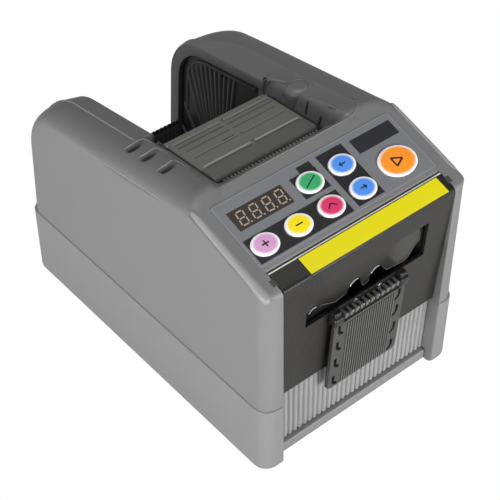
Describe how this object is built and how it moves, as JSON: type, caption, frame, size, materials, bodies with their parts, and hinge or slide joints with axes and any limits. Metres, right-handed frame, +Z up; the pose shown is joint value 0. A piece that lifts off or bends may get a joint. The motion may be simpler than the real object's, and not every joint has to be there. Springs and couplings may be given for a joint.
{
  "type": "electric tape dispenser",
  "caption": "Desktop machine that feeds and cuts tape, with an open tape well, hinged guide, keyed sloping panel, hinged smoked front cover and a fold-out tape tray.",
  "frame": {"origin": "on the table under the middle of the whole object", "axes": "+X to the right seen from the front, +Y towards the rear, +Z up"},
  "size_m": [0.1316, 0.2052, 0.1421],
  "materials": {
    "housing_grey": "fine moulded grain",
    "panel_grey": "grooved moulding",
    "liner_black": "black moulding",
    "foot_rubber": "soft black rubber",
    "screw_steel": "plated steel",
    "overlay_film": "printed film",
    "display_smoke": "smoked window",
    "display_black": "display body",
    "board_green": "circuit board",
    "switch_black": "black moulding",
    "key_lilac": "printed key",
    "key_yellow": "printed key",
    "key_crimson": "printed key",
    "key_leaf": "printed key",
    "key_blue": "printed key",
    "key_orange": "printed key",
    "cover_smoke": "smoked moulding",
    "strip_yellow": "bare yellow film",
    "lip_clear": "clear moulding",
    "tray_black": "black moulding",
    "guide_grey": "ribbed moulding",
    "frame_steel": "zinc-plated sheet",
    "shaft_steel": "ground steel",
    "bush_brass": "turned brass",
    "roller_silicone": "silicone rubber",
    "roller_black": "black rubber",
    "gear_acetal": "white acetal",
    "motor_case": "drawn steel can",
    "blade_steel": "hardened steel",
    "carrier_steel": "phosphated steel",
    "rocker_red": "red moulding"
  },
  "bodies": {
    "housing": {"base_tray": "housing_grey", "upper_housing": "housing_grey", "front_panel": "panel_grey", "well_liner": "liner_black", "feet": "foot_rubber", "housing_screws": "screw_steel", "control_overlay": "overlay_film", "display_lens": "display_smoke", "display_module": "display_black", "key_board": "board_green", "key_switches": "switch_black", "guide_pin": "shaft_steel", "left_frame": "frame_steel", "right_frame": "frame_steel", "tie_bars": "shaft_steel", "shaft_bushes": "bush_brass", "idler_pin": "shaft_steel", "feed_motor": "motor_case", "cutter_motor": "motor_case", "fixed_blade": "blade_steel", "blade_bed": "carrier_steel", "tape_sensor": "switch_black", "main_board": "board_green", "power_inlet": "switch_black", "switch_frame": "switch_black"},
    "cover": {"front_cover": "cover_smoke", "cover_pins": "shaft_steel", "cover_strip": "strip_yellow", "outlet_lip": "lip_clear", "tray_bracket": "tray_black", "tray_screws": "screw_steel", "tray_pin": "shaft_steel"},
    "tray": {"tape_tray": "tray_black"},
    "guide": {"tape_guide": "guide_grey"},
    "feed": {"feed_shaft": "shaft_steel", "feed_roller": "roller_silicone", "feed_gear": "gear_acetal"},
    "press": {"press_shaft": "shaft_steel", "press_roller": "roller_black"},
    "idler": {"idler_gear": "gear_acetal"},
    "pinion": {"motor_pinion": "bush_brass"},
    "crank": {"crank_disc": "shaft_steel"},
    "cutter": {"blade_carrier": "carrier_steel", "moving_blade": "blade_steel", "blade_screws": "screw_steel"},
    "rocker": {"power_rocker": "rocker_red"},
    "key_plus": {"key_plus": "key_lilac"},
    "key_minus": {"key_minus": "key_yellow"},
    "key_red": {"key_red": "key_crimson"},
    "key_green": {"key_green": "key_leaf"},
    "key_blue_rear": {"key_blue_rear": "key_blue"},
    "key_blue_front": {"key_blue_front": "key_blue"},
    "key_start": {"key_start": "key_orange"}
  },
  "joints": [
    {"name": "cover_open", "type": "hinge", "parent": "housing", "child": "cover", "pos_m": [0, -0.09287, 0.12282], "axis": [-1, 0, 0], "range_deg": [0, 100]},
    {"name": "tray_lift", "type": "hinge", "parent": "cover", "child": "tray", "pos_m": [0, -0.10064, 0.0848], "axis": [-1, 0, 0], "range_deg": [0, 90]},
    {"name": "guide_lift", "type": "hinge", "parent": "housing", "child": "guide", "pos_m": [0, 0.01613, 0.1226], "axis": [-1, 0, 0], "range_deg": [0, 70]},
    {"name": "feed_turn", "type": "hinge", "parent": "housing", "child": "feed", "pos_m": [0, -0.06389, 0.0957], "axis": [1, 0, 0], "continuous": true},
    {"name": "press_turn", "type": "hinge", "parent": "housing", "child": "press", "pos_m": [0, -0.07063, 0.11272], "axis": [1, 0, 0], "continuous": true},
    {"name": "idler_turn", "type": "hinge", "parent": "housing", "child": "idler", "pos_m": [0, -0.05647, 0.06355], "axis": [1, 0, 0], "continuous": true},
    {"name": "pinion_turn", "type": "hinge", "parent": "housing", "child": "pinion", "pos_m": [0, -0.04826, 0.041], "axis": [1, 0, 0], "continuous": true},
    {"name": "crank_turn", "type": "hinge", "parent": "housing", "child": "crank", "pos_m": [0, -0.07437, 0.064], "axis": [-1, 0, 0], "range_deg": [0, 180]},
    {"name": "cutter_slide", "type": "slide", "parent": "housing", "child": "cutter", "axis": [0, 0, -1], "range_m": [0, 0.01]},
    {"name": "rocker_tilt", "type": "hinge", "parent": "housing", "child": "rocker", "pos_m": [-0.02, 0.09363, 0.01915], "axis": [1, 0, 0], "range_deg": [-8, 8]},
    {"name": "press_plus", "type": "slide", "parent": "housing", "child": "key_plus", "axis": [0, 0.2974, -0.9548], "range_m": [0, 0.0006], "stiffness_N_per_m": 600},
    {"name": "press_minus", "type": "slide", "parent": "housing", "child": "key_minus", "axis": [0, 0.2974, -0.9548], "range_m": [0, 0.0006], "stiffness_N_per_m": 600},
    {"name": "press_red", "type": "slide", "parent": "housing", "child": "key_red", "axis": [0, 0.2974, -0.9548], "range_m": [0, 0.0006], "stiffness_N_per_m": 600},
    {"name": "press_green", "type": "slide", "parent": "housing", "child": "key_green", "axis": [0, 0.2974, -0.9548], "range_m": [0, 0.0006], "stiffness_N_per_m": 600},
    {"name": "press_blue_rear", "type": "slide", "parent": "housing", "child": "key_blue_rear", "axis": [0, 0.2974, -0.9548], "range_m": [0, 0.0006], "stiffness_N_per_m": 600},
    {"name": "press_blue_front", "type": "slide", "parent": "housing", "child": "key_blue_front", "axis": [0, 0.2974, -0.9548], "range_m": [0, 0.0006], "stiffness_N_per_m": 600},
    {"name": "press_start", "type": "slide", "parent": "housing", "child": "key_start", "axis": [0, 0.2974, -0.9548], "range_m": [0, 0.0006], "stiffness_N_per_m": 600}
  ],
  "couplings": [
    {"joint": "press_turn", "follows": "feed_turn", "ratio": -2},
    {"joint": "idler_turn", "follows": "feed_turn", "ratio": -0.83333},
    {"joint": "pinion_turn", "follows": "feed_turn", "ratio": 2.5},
    {"joint": "crank_turn", "follows": "cutter_slide", "rad_per_m": 314.16}
  ]
}
